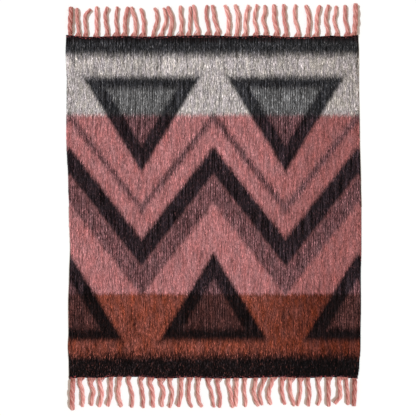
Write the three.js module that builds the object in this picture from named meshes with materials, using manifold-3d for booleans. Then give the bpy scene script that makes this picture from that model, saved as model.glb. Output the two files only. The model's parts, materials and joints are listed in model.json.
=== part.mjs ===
// A woven throw blanket spread out flat, with a twisted wool fringe along both short ends.
// Millimetres, +Z up. X runs across the throw and +Y towards its head end.
// It lies on z = 0, and the origin is on that surface below the middle of the whole throw.

import * as THREE from 'three';
import { mergeVertices } from 'three/addons/utils/BufferGeometryUtils.js';
import Module from 'manifold-3d';

// Driving dimensions of the cloth
const clothWidth = 1300; // selvedge to selvedge
const groundLength = 1515; // from dense edge to dense edge, without the locks
const clothThickness = 4; // brushed wool cloth as it lies
const selvedgeThickness = 2.4; // the outer threads, which the brushing leaves thin
const selvedgeFade = 16; // width over which the cloth thins towards its edge
const edgeStripWidth = 9; // the dense edge that holds the locks
const edgeStripThickness = 4.6;
const partingGap = 0.3; // between the cloth and each dense edge
const endPullSharpness = 8; // the waves of an end die out this fast towards the middle

// The mark across the middle where the throw was folded for the shelf
const creaseAlong = -5;
const creaseHeight = 1.5;
const creaseSpread = 14;
const creaseReach = 40;

// Driving dimensions of the fringe
const lockGirth = 17; // across one twisted lock
const lockHeightShare = 0.86; // a lock lies a little flattened by its own weight
const firstLockGain = 1.2; // the first and last lock take in more warp
const lastLockGain = 1.4;
const tipShare = 0.72; // girth left at the trimmed tip
const flareWidth = 26; // the warp ends spread to this at the dense edge
const flareLean = 3; // and the spread is larger on one side
const flareLength = 22;
const rootDepth = 6; // how far a lock runs into the dense edge
const rootHeight = 3.6;
const startDrift = 0.15; // share of the half-way drift that a lock has at the end of its flare
const halfShare = 0.5; // the stations of the lock table, as shares of a lock's reach
const lateShare = 0.77;
const taperStart = 0.6; // a lock keeps its girth up to here
const lockSides = 4;
const lockSteps = 12;
const lockTurns = 0.95; // twist from root to tip
const footShift = -3; // the foot fringe lies a little to the left of the head fringe, turned
const footSqueeze = 0.99; // and its locks stand a little closer together

// Places of the two selvedges at stations along the length
const selvedgeRows = [
  { along: 758, left: -654, right: 642 },
  { along: 680, left: -657, right: 645 },
  { along: 560, left: -652, right: 645 },
  { along: 320, left: -654, right: 649 },
  { along: 100, left: -645, right: 654 },
  { along: -20, left: -641, right: 657 },
  { along: -190, left: -636, right: 657 },
  { along: -300, left: -640, right: 654 },
  { along: -430, left: -644, right: 655 },
  { along: -560, left: -643, right: 653 },
  { along: -620, left: -646, right: 653 },
  { along: -690, left: -642, right: 648 },
  { along: -758, left: -641, right: 640 },
];

// How far the head end stands out from a straight line, at stations across it
const endRows = [
  { across: -654, out: 5 },
  { across: -560, out: -3 },
  { across: -390, out: 1 },
  { across: -300, out: -2 },
  { across: -150, out: 2 },
  { across: -30, out: 4 },
  { across: 110, out: -1 },
  { across: 215, out: 4 },
  { across: 345, out: -4 },
  { across: 430, out: -3 },
  { across: 530, out: 2 },
  { across: 580, out: -1 },
  { across: 642, out: 5 },
];

// Soft waves left in the cloth as it lies
const swells = [
  { acrossPitch: 870, alongPitch: 1310, height: 0.45, phase: 0.6 },
  { acrossPitch: -540, alongPitch: 760, height: 0.3, phase: 2.1 },
  { acrossPitch: 2100, alongPitch: 430, height: 0.25, phase: 4.0 },
];

// The 31 locks of the head end: the place of each root across the end, how far the lock has drifted
// sideways from it half way, at three quarters and at the tip, and how far the tip reaches past the
// straight line of the end. The foot end has the same locks, turned half round, with a reach of their own
const lockRows = [
  { root: -635, half: 1, late: 3, tip: 4, reach: 130, footReach: 127 },
  { root: -597, half: -6, late: -8, tip: -7, reach: 125, footReach: 122 },
  { root: -564, half: -5, late: -3, tip: 20, reach: 121, footReach: 116 },
  { root: -517, half: -1, late: -1, tip: 0, reach: 132, footReach: 129 },
  { root: -470, half: -8, late: -9, tip: 2, reach: 130, footReach: 125 },
  { root: -426, half: -6, late: -4, tip: 1, reach: 131, footReach: 128 },
  { root: -391, half: -1, late: 5, tip: 13, reach: 130, footReach: 127 },
  { root: -346, half: 0, late: -10, tip: -18, reach: 130, footReach: 127 },
  { root: -310, half: 1, late: -5, tip: -12, reach: 124, footReach: 121 },
  { root: -266, half: 15, late: 15, tip: 6, reach: 126, footReach: 121 },
  { root: -229, half: 18, late: 16, tip: 8, reach: 126, footReach: 123 },
  { root: -191, half: 8, late: -1, tip: -12, reach: 132, footReach: 128 },
  { root: -143, half: 2, late: -4, tip: -1, reach: 135, footReach: 131 },
  { root: -106, half: 2, late: 3, tip: 4, reach: 132, footReach: 129 },
  { root: -66, half: -14, late: -17, tip: -23, reach: 139, footReach: 135 },
  { root: -19, half: -10, late: -14, tip: -8, reach: 138, footReach: 134 },
  { root: 23, half: -17, late: -22, tip: -28, reach: 138, footReach: 133 },
  { root: 66, half: 2, late: -4, tip: -16, reach: 138, footReach: 132 },
  { root: 105, half: 4, late: 1, tip: -10, reach: 140, footReach: 134 },
  { root: 143, half: -1, late: 5, tip: 14, reach: 138, footReach: 130 },
  { root: 194, half: -12, late: -8, tip: 1, reach: 141, footReach: 135 },
  { root: 236, half: -16, late: -8, tip: -7, reach: 138, footReach: 131 },
  { root: 284, half: -14, late: -15, tip: -16, reach: 141, footReach: 134 },
  { root: 325, half: -10, late: -13, tip: -12, reach: 142, footReach: 136 },
  { root: 380, half: -17, late: -20, tip: -15, reach: 141, footReach: 134 },
  { root: 419, half: 5, late: 0, tip: -9, reach: 138, footReach: 131 },
  { root: 458, half: 0, late: 5, tip: 15, reach: 137, footReach: 128 },
  { root: 509, half: -11, late: -7, tip: 3, reach: 139, footReach: 131 },
  { root: 550, half: -15, late: -8, tip: -5, reach: 135, footReach: 126 },
  { root: 597, half: -13, late: -14, tip: -12, reach: 138, footReach: 131 },
  { root: 626, half: 4, late: 4, tip: 4, reach: 145, footReach: 145 },
];

const halfWidth = clothWidth / 2;
const halfGround = groundLength / 2;
const halfCloth = halfGround - edgeStripWidth - partingGap;

const sameCorner = 1e-4; // corners closer than this are one
const wasm = await Module();
wasm.setup();

const clothMaterial = new THREE.MeshStandardMaterial({ color: 0xa66c6b, roughness: 0.95, metalness: 0 });
const fringeMaterial = new THREE.MeshStandardMaterial({ color: 0xce8f89, roughness: 0.92, metalness: 0 });

// A value between the rows of a table, eased from one row to the next
function between(rows, placeName, valueName, place) {
  const ordered = [...rows].sort((one, other) => one[placeName] - other[placeName]);
  const last = ordered.length - 1;
  if (place <= ordered[0][placeName]) return ordered[0][valueName];
  if (place >= ordered[last][placeName]) return ordered[last][valueName];
  const next = ordered.findIndex((row) => row[placeName] > place);
  const low = ordered[next - 1];
  const high = ordered[next];
  const ease = THREE.MathUtils.smoothstep(place, low[placeName], high[placeName]);
  return THREE.MathUtils.lerp(low[valueName], high[valueName], ease);
}

// How far the head or foot end stands out at a place across the throw
function endOut(across, end) {
  const seenFromHead = end > 0 ? across : footShift - across;
  return between(endRows, 'across', 'out', seenFromHead);
}

// A point of the cloth's plan for its place on the loom
function planPoint(weft, warp) {
  const left = between(selvedgeRows, 'along', 'left', warp);
  const right = between(selvedgeRows, 'along', 'right', warp);
  const across = THREE.MathUtils.lerp(left, right, (weft + halfWidth) / clothWidth);
  const end = Math.sign(warp);
  const endPull = (Math.abs(warp) / halfCloth) ** endPullSharpness;
  return new THREE.Vector2(across, warp + end * endPull * endOut(across, end));
}

// Height of the upper face
function clothHeight(weft, warp) {
  const toSelvedge = halfWidth - Math.abs(weft);
  const toEnd = halfCloth - Math.abs(warp) + selvedgeFade;
  const fullness = THREE.MathUtils.smoothstep(Math.min(toSelvedge, toEnd), 0, selvedgeFade);
  let height = THREE.MathUtils.lerp(selvedgeThickness, clothThickness, fullness);
  for (const swell of swells) {
    const turn = (weft / swell.acrossPitch + warp / swell.alongPitch) * 2 * Math.PI + swell.phase;
    height += fullness * swell.height * Math.sin(turn);
  }
  const fromCrease = (warp - creaseAlong) / creaseSpread;
  return height + fullness * creaseHeight * Math.exp(-fromCrease * fromCrease);
}

// Grid lines with a number of equal cells in each span between two stops
function gridLines(stops, cells) {
  const lines = [stops[0]];
  cells.forEach((count, span) => {
    for (let step = 1; step <= count; step += 1) {
      lines.push(THREE.MathUtils.lerp(stops[span], stops[span + 1], step / count));
    }
  });
  return lines;
}

// The cloth and its dense edges share these lines, so that they part evenly
const weftStops = [-halfWidth, -halfWidth + selvedgeFade, halfWidth - selvedgeFade, halfWidth];
const wefts = gridLines(weftStops, [1, 24, 1]);

function closedGeometry(points, faces) {
  const geometry = new THREE.BufferGeometry();
  geometry.setAttribute('position', new THREE.Float32BufferAttribute(points, 3));
  geometry.setIndex(faces);
  geometry.computeVertexNormals();
  return geometry;
}

// The cloth: an uneven upper face over a flat underside
function clothGeometry() {
  const creaseFoot = creaseAlong - creaseReach;
  const creaseHead = creaseAlong + creaseReach;
  const warps = gridLines([-halfCloth, creaseFoot, creaseHead, halfCloth], [18, 6, 18]);
  const columns = wefts.length;
  const rows = warps.length;
  const points = [];
  for (const warp of warps) {
    for (const weft of wefts) {
      const plan = planPoint(weft, warp);
      points.push(plan.x, plan.y, clothHeight(weft, warp));
    }
  }
  const faces = [];
  const upper = (column, row) => row * columns + column;
  for (let row = 0; row < rows - 1; row += 1) {
    for (let column = 0; column < columns - 1; column += 1) {
      const a = upper(column, row);
      const b = upper(column + 1, row);
      const c = upper(column + 1, row + 1);
      const d = upper(column, row + 1);
      faces.push(a, b, c, a, c, d);
    }
  }
  const rim = [];
  for (let column = 0; column < columns - 1; column += 1) rim.push(upper(column, 0));
  for (let row = 0; row < rows - 1; row += 1) rim.push(upper(columns - 1, row));
  for (let column = columns - 1; column > 0; column -= 1) rim.push(upper(column, rows - 1));
  for (let row = rows - 1; row > 0; row -= 1) rim.push(upper(0, row));
  const firstLower = points.length / 3;
  const outline = rim.map((index) => new THREE.Vector2(points[3 * index], points[3 * index + 1]));
  for (const corner of outline) points.push(corner.x, corner.y, 0);
  rim.forEach((index, place) => {
    const next = (place + 1) % rim.length;
    faces.push(index, firstLower + place, firstLower + next, index, firstLower + next, rim[next]);
  });
  for (const [a, b, c] of THREE.ShapeUtils.triangulateShape(outline, [])) {
    faces.push(firstLower + a, firstLower + c, firstLower + b);
  }
  return closedGeometry(points, faces);
}

// One twisted lock: a four-sided section that turns on its way from the flared root to the tip,
// with the lowest corner of every section on the floor
function lockGeometry(row, gain) {
  const edge = halfGround + endOut(row.root, 1);
  const route = new THREE.CatmullRomCurve3([
    new THREE.Vector3(row.root, edge - rootDepth, 0),
    new THREE.Vector3(row.root + row.half * startDrift, edge + flareLength, 0),
    new THREE.Vector3(row.root + row.half, halfGround + row.reach * halfShare, 0),
    new THREE.Vector3(row.root + row.late, halfGround + row.reach * lateShare, 0),
    new THREE.Vector3(row.root + row.tip, halfGround + row.reach, 0),
  ]);
  const points = [];
  for (let step = 0; step <= lockSteps; step += 1) {
    const share = step / lockSteps;
    const centre = route.getPointAt(share);
    const heading = route.getTangentAt(share);
    const sideways = new THREE.Vector3(heading.y, -heading.x, 0);
    const run = share * route.getLength() - rootDepth;
    const settled = THREE.MathUtils.smoothstep(run, -rootDepth, flareLength);
    const towardsTip = THREE.MathUtils.smoothstep(share, taperStart, 1);
    const girth = lockGirth * gain * THREE.MathUtils.lerp(1, tipShare, towardsTip ** 2);
    const halfSpan = THREE.MathUtils.lerp(flareWidth, girth, settled) / 2;
    const halfRise = THREE.MathUtils.lerp(rootHeight, girth * lockHeightShare, settled) / 2;
    centre.addScaledVector(sideways, -flareLean * (1 - settled));
    const turn = Math.PI / 4 + share * lockTurns * 2 * Math.PI;
    const corners = [];
    for (let side = 0; side < lockSides; side += 1) {
      const angle = turn + (side / lockSides) * 2 * Math.PI;
      corners.push({ out: Math.cos(angle) * halfSpan, up: Math.sin(angle) * halfRise });
    }
    const lowest = Math.min(...corners.map((corner) => corner.up));
    for (const corner of corners) {
      const place = centre.clone().addScaledVector(sideways, corner.out);
      points.push(place.x, place.y, corner.up - lowest);
    }
  }
  const faces = [];
  for (let step = 0; step < lockSteps; step += 1) {
    for (let side = 0; side < lockSides; side += 1) {
      const a = step * lockSides + side;
      const b = step * lockSides + ((side + 1) % lockSides);
      faces.push(a, a + lockSides, b + lockSides, a, b + lockSides, b);
    }
  }
  const tip = lockSteps * lockSides;
  for (let side = 1; side < lockSides - 1; side += 1) {
    faces.push(0, side, side + 1);
    faces.push(tip, tip + side + 1, tip + side);
  }
  return closedGeometry(points, faces);
}

// The dense edge between the cloth and the locks, seen with its end of the throw upwards
function edgeStripGeometry(left, right) {
  const stations = wefts.map((weft) => THREE.MathUtils.lerp(left, right, (weft + halfWidth) / clothWidth));
  const outer = stations.map((across) => new THREE.Vector2(across, halfGround + endOut(across, 1)));
  const inner = outer.map((point) => new THREE.Vector2(point.x, point.y - edgeStripWidth));
  const shape = new THREE.Shape([...inner, ...outer.reverse()]);
  return new THREE.ExtrudeGeometry(shape, { depth: edgeStripThickness, bevelEnabled: false });
}

// A closed geometry as a solid that can be joined
function asSolid(geometry) {
  const bare = geometry.clone();
  bare.deleteAttribute('normal');
  bare.deleteAttribute('uv');
  const merged = mergeVertices(bare, sameCorner);
  const mesh = new wasm.Mesh({
    numProp: 3,
    vertProperties: new Float32Array(merged.getAttribute('position').array),
    triVerts: new Uint32Array(merged.getIndex().array),
  });
  return new wasm.Manifold(mesh);
}

function asGeometry(solid) {
  const mesh = solid.getMesh();
  return closedGeometry(Array.from(mesh.vertProperties), Array.from(mesh.triVerts));
}

// A fringe: the locks fused at their roots into the dense edge
function fringeGeometry(left, right, rows) {
  let solid = asSolid(edgeStripGeometry(left, right));
  rows.forEach((row, place) => {
    let gain = 1;
    if (place === 0) gain = firstLockGain;
    if (place === rows.length - 1) gain = lastLockGain;
    solid = solid.add(asSolid(lockGeometry(row, gain)));
  });
  return asGeometry(solid);
}

function piece(name, geometry, material) {
  const mesh = new THREE.Mesh(geometry, material);
  mesh.name = name;
  return mesh;
}

const head = selvedgeRows[0];
const foot = selvedgeRows[selvedgeRows.length - 1];

const cloth = piece('cloth', clothGeometry(), clothMaterial);
const fringeHead = piece('fringe_head', fringeGeometry(head.left, head.right, lockRows), fringeMaterial);
const footLeft = footShift - foot.right;
const footRight = footShift - foot.left;
const footRows = lockRows.map((row) => ({ ...row, root: row.root * footSqueeze, reach: row.footReach }));
const fringeFoot = piece('fringe_foot', fringeGeometry(footLeft, footRight, footRows), fringeMaterial);
fringeFoot.rotation.z = Math.PI;
fringeFoot.position.x = footShift;

const throwBlanket = new THREE.Group();
throwBlanket.add(cloth, fringeHead, fringeFoot);

export default throwBlanket;
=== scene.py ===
import json
import math

import bmesh
import bpy
import numpy as np
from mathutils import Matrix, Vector

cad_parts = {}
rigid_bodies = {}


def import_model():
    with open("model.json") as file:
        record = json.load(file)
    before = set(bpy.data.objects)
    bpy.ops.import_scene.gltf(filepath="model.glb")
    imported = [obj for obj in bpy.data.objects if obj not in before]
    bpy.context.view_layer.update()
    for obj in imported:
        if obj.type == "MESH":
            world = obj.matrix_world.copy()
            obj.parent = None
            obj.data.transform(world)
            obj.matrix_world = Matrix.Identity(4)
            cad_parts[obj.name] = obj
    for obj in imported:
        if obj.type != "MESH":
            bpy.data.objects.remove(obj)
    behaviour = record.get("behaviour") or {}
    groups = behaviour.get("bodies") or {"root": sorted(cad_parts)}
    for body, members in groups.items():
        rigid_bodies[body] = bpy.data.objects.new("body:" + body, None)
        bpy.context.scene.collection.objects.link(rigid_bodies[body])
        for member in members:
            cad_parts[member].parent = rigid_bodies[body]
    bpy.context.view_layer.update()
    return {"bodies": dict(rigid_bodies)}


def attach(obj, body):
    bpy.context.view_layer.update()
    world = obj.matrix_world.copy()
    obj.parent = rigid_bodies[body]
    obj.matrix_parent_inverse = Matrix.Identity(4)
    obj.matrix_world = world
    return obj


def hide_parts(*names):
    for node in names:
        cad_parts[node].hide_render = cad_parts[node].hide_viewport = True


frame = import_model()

bodyName = next(iter(frame["bodies"]))
mm = 0.001
fullTurn = 2 * math.pi

# The throw lies flat: x across, y along with the charcoal end up, z above the floor
cloth = {
    "width": 1300 * mm,
    "groundLength": 1515 * mm,
    "edgeWidth": 9 * mm,
    "edgeThickness": 4.6 * mm,
    "parting": 0.3 * mm,
    "thickness": 4 * mm,
    "selvedgeThickness": 2.4 * mm,
    "selvedgeFade": 16 * mm,
    "endPull": 8,
    "footShift": -3 * mm,
    "footSqueeze": 0.99,
    "creaseAlong": -5 * mm,
    "creaseHeight": 1.5 * mm,
    "creaseSpread": 14 * mm,
    "columns": 60,
    "rows": 150,
}
halfWidth = cloth["width"] / 2
halfGround = cloth["groundLength"] / 2
halfCloth = halfGround - cloth["edgeWidth"] - cloth["parting"]

# Places of the two selvedges, millimetres
selvedgeRows = [
    {"along": -758, "left": -641, "right": 640},
    {"along": -690, "left": -642, "right": 648},
    {"along": -620, "left": -646, "right": 653},
    {"along": -560, "left": -643, "right": 653},
    {"along": -430, "left": -644, "right": 655},
    {"along": -300, "left": -640, "right": 654},
    {"along": -190, "left": -636, "right": 657},
    {"along": -20, "left": -641, "right": 657},
    {"along": 100, "left": -645, "right": 654},
    {"along": 320, "left": -654, "right": 649},
    {"along": 560, "left": -652, "right": 645},
    {"along": 680, "left": -657, "right": 645},
    {"along": 758, "left": -654, "right": 642},
]

# How far the head end stands out, millimetres. The foot end has the same outline, turned half round
endRows = [
    {"across": -654, "out": 5},
    {"across": -560, "out": -3},
    {"across": -390, "out": 1},
    {"across": -300, "out": -2},
    {"across": -150, "out": 2},
    {"across": -30, "out": 4},
    {"across": 110, "out": -1},
    {"across": 215, "out": 4},
    {"across": 345, "out": -4},
    {"across": 430, "out": -3},
    {"across": 530, "out": 2},
    {"across": 580, "out": -1},
    {"across": 642, "out": 5},
]

# Soft waves left in the cloth
swells = [
    {"acrossPitch": 870 * mm, "alongPitch": 1310 * mm, "height": 0.45 * mm, "phase": 0.6},
    {"acrossPitch": -540 * mm, "alongPitch": 760 * mm, "height": 0.3 * mm, "phase": 2.1},
    {"acrossPitch": 2100 * mm, "alongPitch": 430 * mm, "height": 0.25 * mm, "phase": 4.0},
]

# The locks of the head end in millimetres: root, sideways drift half way, late and at the tip, and reach,
# with the reach of the same lock at the foot
lockRows = [
    {"root": -635, "half": 1, "late": 3, "tip": 4, "reach": 130, "footReach": 127},
    {"root": -597, "half": -6, "late": -8, "tip": -7, "reach": 125, "footReach": 122},
    {"root": -564, "half": -5, "late": -3, "tip": 20, "reach": 121, "footReach": 116},
    {"root": -517, "half": -1, "late": -1, "tip": 0, "reach": 132, "footReach": 129},
    {"root": -470, "half": -8, "late": -9, "tip": 2, "reach": 130, "footReach": 125},
    {"root": -426, "half": -6, "late": -4, "tip": 1, "reach": 131, "footReach": 128},
    {"root": -391, "half": -1, "late": 5, "tip": 13, "reach": 130, "footReach": 127},
    {"root": -346, "half": 0, "late": -10, "tip": -18, "reach": 130, "footReach": 127},
    {"root": -310, "half": 1, "late": -5, "tip": -12, "reach": 124, "footReach": 121},
    {"root": -266, "half": 15, "late": 15, "tip": 6, "reach": 126, "footReach": 121},
    {"root": -229, "half": 18, "late": 16, "tip": 8, "reach": 126, "footReach": 123},
    {"root": -191, "half": 8, "late": -1, "tip": -12, "reach": 132, "footReach": 128},
    {"root": -143, "half": 2, "late": -4, "tip": -1, "reach": 135, "footReach": 131},
    {"root": -106, "half": 2, "late": 3, "tip": 4, "reach": 132, "footReach": 129},
    {"root": -66, "half": -14, "late": -17, "tip": -23, "reach": 139, "footReach": 135},
    {"root": -19, "half": -10, "late": -14, "tip": -8, "reach": 138, "footReach": 134},
    {"root": 23, "half": -17, "late": -22, "tip": -28, "reach": 138, "footReach": 133},
    {"root": 66, "half": 2, "late": -4, "tip": -16, "reach": 138, "footReach": 132},
    {"root": 105, "half": 4, "late": 1, "tip": -10, "reach": 140, "footReach": 134},
    {"root": 143, "half": -1, "late": 5, "tip": 14, "reach": 138, "footReach": 130},
    {"root": 194, "half": -12, "late": -8, "tip": 1, "reach": 141, "footReach": 135},
    {"root": 236, "half": -16, "late": -8, "tip": -7, "reach": 138, "footReach": 131},
    {"root": 284, "half": -14, "late": -15, "tip": -16, "reach": 141, "footReach": 134},
    {"root": 325, "half": -10, "late": -13, "tip": -12, "reach": 142, "footReach": 136},
    {"root": 380, "half": -17, "late": -20, "tip": -15, "reach": 141, "footReach": 134},
    {"root": 419, "half": 5, "late": 0, "tip": -9, "reach": 138, "footReach": 131},
    {"root": 458, "half": 0, "late": 5, "tip": 15, "reach": 137, "footReach": 128},
    {"root": 509, "half": -11, "late": -7, "tip": 3, "reach": 139, "footReach": 131},
    {"root": 550, "half": -15, "late": -8, "tip": -5, "reach": 135, "footReach": 126},
    {"root": 597, "half": -13, "late": -14, "tip": -12, "reach": 138, "footReach": 131},
    {"root": 626, "half": 4, "late": 4, "tip": 4, "reach": 145, "footReach": 145},
]

# The foot end has the same locks, turned half round, a little closer together and nearly all shorter
footRows = [
    {**row, "root": row["root"] * cloth["footSqueeze"], "reach": row["footReach"]} for row in lockRows
]


# Values between the rows of a table, eased from row to row, in metres
def between(rows, placeName, valueName, places):
    stops = np.array([row[placeName] for row in rows]) * mm
    values = np.array([row[valueName] for row in rows]) * mm
    high = np.clip(np.searchsorted(stops, places), 1, len(stops) - 1)
    share = np.clip((places - stops[high - 1]) / (stops[high] - stops[high - 1]), 0, 1)
    share = share * share * (3 - 2 * share)
    return values[high - 1] * (1 - share) + values[high] * share


def eased(value, low, high):
    share = np.clip((value - low) / (high - low), 0, 1)
    return share * share * (3 - 2 * share)


def endOut(across, end):
    seenFromHead = np.where(end > 0, across, cloth["footShift"] - across)
    return between(endRows, "across", "out", seenFromHead)


# Where a point of the loom's weft and warp lies in plan
def planPoint(weft, warp):
    left = between(selvedgeRows, "along", "left", warp)
    right = between(selvedgeRows, "along", "right", warp)
    across = left + (right - left) * (weft + halfWidth) / cloth["width"]
    end = np.where(warp > 0, 1.0, -1.0)
    pull = (np.abs(warp) / halfCloth) ** cloth["endPull"]
    return across, warp + end * pull * endOut(across, end)


def clothHeight(weft, warp):
    toSelvedge = halfWidth - np.abs(weft)
    toEnd = halfCloth - np.abs(warp) + cloth["selvedgeFade"]
    fullness = eased(np.minimum(toSelvedge, toEnd), 0, cloth["selvedgeFade"])
    height = cloth["selvedgeThickness"] + (cloth["thickness"] - cloth["selvedgeThickness"]) * fullness
    for swell in swells:
        turn = (weft / swell["acrossPitch"] + warp / swell["alongPitch"]) * fullTurn + swell["phase"]
        height = height + fullness * swell["height"] * np.sin(turn)
    fromCrease = (warp - cloth["creaseAlong"]) / cloth["creaseSpread"]
    return height + fullness * cloth["creaseHeight"] * np.exp(-fromCrease**2)


# One mesh from arrays: points, triangles, values for each point, and a place in the UV map for each corner
def joinedMesh(name, points, faces, pointValues, cornerUv):
    mesh = bpy.data.meshes.new(name)
    mesh.vertices.add(len(points))
    mesh.vertices.foreach_set("co", points.astype(np.float32).ravel())
    mesh.loops.add(faces.size)
    mesh.loops.foreach_set("vertex_index", faces.astype(np.int32).ravel())
    mesh.polygons.add(len(faces))
    mesh.polygons.foreach_set("loop_start", np.arange(len(faces), dtype=np.int32) * 3)
    mesh.update(calc_edges=True)
    for valueName, values in pointValues.items():
        kind, key = ("FLOAT_VECTOR", "vector") if values.ndim == 2 else ("FLOAT", "value")
        attribute = mesh.attributes.new(valueName, kind, "POINT")
        attribute.data.foreach_set(key, values.astype(np.float32).ravel())
    mesh.uv_layers.new(name="OFBake").data.foreach_set("uv", cornerUv.astype(np.float32).ravel())
    mesh.shade_flat()
    piece = bpy.data.objects.new(name, mesh)
    bpy.context.scene.collection.objects.link(piece)
    return piece


# One object from a bmesh, which is freed
def pieceFrom(bm, name):
    mesh = bpy.data.meshes.new(name)
    bm.to_mesh(mesh)
    bm.free()
    piece = bpy.data.objects.new(name, mesh)
    bpy.context.scene.collection.objects.link(piece)
    return piece


def smoothShaded(piece):
    piece.data.polygons.foreach_set("use_smooth", [True] * len(piece.data.polygons))
    return piece


# The part of its strip of the UV map that a tube leaves free at each side and at each end
stripMargin = {"side": 0.08, "end": 0.01}


# Closed tubes along routes; x, y, z and the rest hold a row for each tube and a column for each step
def sweptTubes(x, y, z, headX, headY, across, up, sides):
    tubes, steps = x.shape
    angles = np.linspace(0, fullTurn, sides, endpoint=False)
    out = across[:, :, None] * np.cos(angles)
    lift = up[:, :, None] * np.sin(angles)
    rings = np.stack([
        x[:, :, None] + headY[:, :, None] * out,
        y[:, :, None] - headX[:, :, None] * out,
        z[:, :, None] + lift,
    ], -1).reshape(tubes, steps * sides, 3)
    middles = np.stack([x, y, z], -1)
    points = np.concatenate([rings, middles[:, :1], middles[:, -1:]], 1)
    cells = np.meshgrid(np.arange(steps - 1), np.arange(sides), indexing="ij")
    step, side = (grid.ravel() for grid in cells)
    after = (side + 1) % sides
    a, b = step * sides + side, step * sides + after
    walls = np.concatenate([np.stack([a, a + sides, b + sides], 1), np.stack([a, b + sides, b], 1)])
    shareA, shareB = side / sides, (side + 1) / sides
    near, far = step / (steps - 1), (step + 1) / (steps - 1)
    wallU = np.concatenate([np.stack([shareA, shareA, shareB], 1), np.stack([shareA, shareB, shareB], 1)])
    wallV = np.concatenate([np.stack([near, far, far], 1), np.stack([near, far, near], 1)])
    ring = np.arange(sides)
    paintedFalloff = (ring + 1) % sides
    last = (steps - 1) * sides
    first = np.stack([np.full(sides, steps * sides), ring, paintedFalloff], 1)
    closing = np.stack([np.full(sides, steps * sides + 1), last + paintedFalloff, last + ring], 1)
    capU = np.stack([(ring + 0.5) / sides, ring / sides, (ring + 1) / sides], 1)
    faces = np.concatenate([walls, first, closing])
    u = np.concatenate([wallU, capU, capU])
    v = np.concatenate([wallV, np.full((sides, 3), 0.0), np.full((sides, 3), 1.0)])
    starts = np.arange(tubes)[:, None, None] * (steps * sides + 2)
    sideMargin, endMargin = stripMargin["side"], stripMargin["end"]
    columns = (np.arange(tubes)[:, None, None] + sideMargin + (1 - 2 * sideMargin) * u) / tubes
    heights = np.broadcast_to(endMargin + (1 - 2 * endMargin) * v, columns.shape)
    cornerUv = np.stack([columns, heights], -1)
    return points.reshape(-1, 3), (starts + faces).reshape(-1, 3), cornerUv.reshape(-1, 2), angles


# Colours as they look in even light, 0 to 255. Those of the bands are darker on the right: painted shade,
# as of a light falling off from left to right
dyes = {
    "lightLevel": 0.81,
    "bandLeft": (42, 42, 45),
    "bandRight": (38, 38, 40),
    "paleLeft": (178, 171, 170),
    "paleRight": (165, 157, 154),
    "roseLeft": (172, 114, 115),
    "roseRight": (152, 95, 94),
    "rustLeft": (125, 66, 54),
    "rustRight": (94, 44, 33),
    "footLeft": (18, 13, 14),
    "footRight": (11, 8, 9),
    "greyTone": (99, 98, 99),
    "mulberryTone": (101, 69, 72),
    "brownTone": (70, 42, 40),
    "charcoalOnPale": (37, 37, 40),
    "charcoalOnRose": (34, 26, 30),
    "charcoalOnRust": (18, 12, 13),
    "beaten": (25, 18, 19),
    "cream": (186, 178, 150),
    "mauve": (168, 152, 176),
    "tinge": 0.12,
    "tingePitch": (60, 18, 0),
    "tingeSoft": 0.25,
    "falloffStart": 60 * mm,
    "falloffEnd": 520 * mm,
    "strayInDark": 0.1,
    "strayInLight": 0.52,
    "contrastInPale": 1.15,
    "contrastInRose": 0.88,
    "contrastInRust": 1.4,
    "contrastInTone": 1.7,
    "contrastInDark": 1.6,
    "contrastInBand": 1.95,
    "contrastInFoot": 3.0,
    "unevenPitch": (40, 14, 0),
    "unevenSaturation": 0.4,
    "unevenHue": 0.013,
}

# The bands and the zigzag design. Lengths are metres from the middle of the cloth, and pitches count
# the lumps of a noise in a metre across, along and up
design = {
    "finePitch": (330, 30, 0),
    "fineDrift": 26 * mm,
    "broadPitch": (45, 9, 0),
    "broadDrift": 14 * mm,
    "beatenFrom": 738 * mm,
    "beatenSoft": 8 * mm,
    "bandFrom": 680 * mm,
    "bandSoft": 48 * mm,
    "bandHold": 0.6,
    "roseFrom": 413 * mm,
    "roseSoft": 30 * mm,
    "rustFrom": -380 * mm,
    "rustSoft": 14 * mm,
    "footFrom": -645 * mm,
    "footSoft": 66 * mm,
    "edgeSoft": 41 * mm,
    "ridgePitch": (210, 7, 0),
    "ridgeDepth": 5.4,
    "ridgeLeast": 0.2,
    "toneShare": 0.92,
    "threadPitch": 10.4 * mm,
    "wanderPitch": (14, 4, 0),
    "threadWander": 5.0,
    "threadDepth": 0.42,
    "yarnPitch": (190, 9, 0),
    "yarnDepth": 1.6,
    "halfPeriod": 320 * mm,
    "zigzagPeak": 210 * mm,
    "zigzagSlope": 1.28,
    "zigzagHalf": 66 * mm,
    "shadowDrop": 128 * mm,
    "shadowHalf": 62 * mm,
    "lineRise": 196 * mm,
    "lineHalf": 24 * mm,
    "wedgeSlope": 1.62,
    "hangingTip": 158 * mm,
    "hangingBase": 586 * mm,
    "standingTip": -196 * mm,
    "standingBase": -590 * mm,
    "coreInset": 122 * mm,
    "coreBase": 58 * mm,
}


# A colour as seen, turned to the linear dye that gives it in this scene's light
def linear(colour):
    channels = [value / 255 for value in colour]
    linearised = [c / 12.92 if c <= 0.04045 else ((c + 0.055) / 1.055) ** 2.4 for c in channels]
    return [c / dyes["lightLevel"] for c in linearised] + [1]


def feed(tree, socket, value):
    if isinstance(value, bpy.types.NodeSocket):
        tree.links.new(value, socket)
    else:
        socket.default_value = value


def addNode(tree, kind, settings, **inputs):
    node = tree.nodes.new(kind)
    for key, value in settings.items():
        setattr(node, key, value)
    for key, value in inputs.items():
        feed(tree, node.inputs[key.replace("_", " ")], value)
    return node


def maths(tree, operation, *values):
    node = addNode(tree, "ShaderNodeMath", {"operation": operation})
    for socket, value in zip(node.inputs, values):
        feed(tree, socket, value)
    return node.outputs[0]


# From 0 to 1 as the value goes from low to high
def ramp(tree, value, low, high):
    limits = {"From_Min": low, "From_Max": high}
    node = addNode(tree, "ShaderNodeMapRange", {"interpolation_type": "SMOOTHSTEP"}, Value=value, **limits)
    return node.outputs["Result"]


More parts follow.
